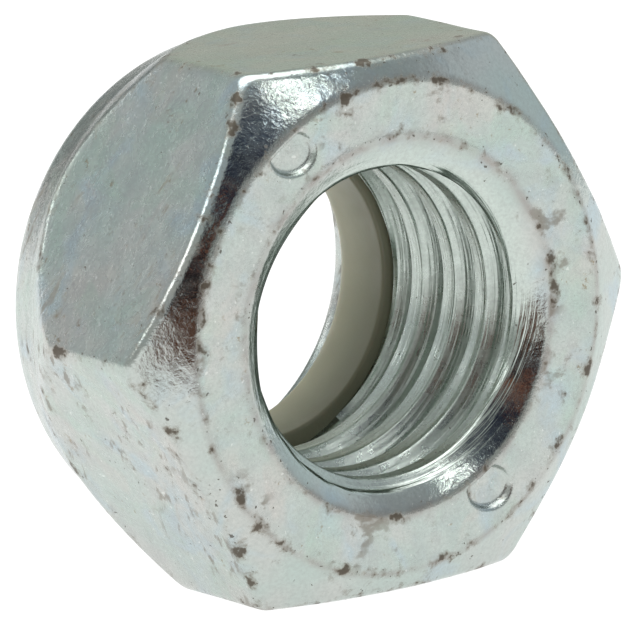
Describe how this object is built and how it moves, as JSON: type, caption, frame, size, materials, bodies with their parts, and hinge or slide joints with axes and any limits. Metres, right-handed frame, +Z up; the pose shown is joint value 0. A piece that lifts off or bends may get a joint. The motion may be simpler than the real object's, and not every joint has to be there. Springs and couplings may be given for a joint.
{
  "type": "nylon insert lock nut",
  "caption": "Hexagonal lock nut: a threaded steel body with a round bearing face and a domed rear collar that holds a plain nylon ring.",
  "frame": {"origin": "centre of the bearing face, on the thread axis", "axes": "+Y along the thread axis from the bearing face to the domed collar, +Z up with the nut standing on one flat, +X to the right seen from the bearing face"},
  "size_m": [0.0206, 0.012, 0.018],
  "materials": {
    "zinc_plated_steel": "satin bright zinc plating with a pale blue-green passivation, lightly stained",
    "nylon": "smooth off-white polyamide"
  },
  "bodies": {
    "root": {"nut_body": "zinc_plated_steel", "nylon_insert": "nylon"}
  },
  "joints": []
}
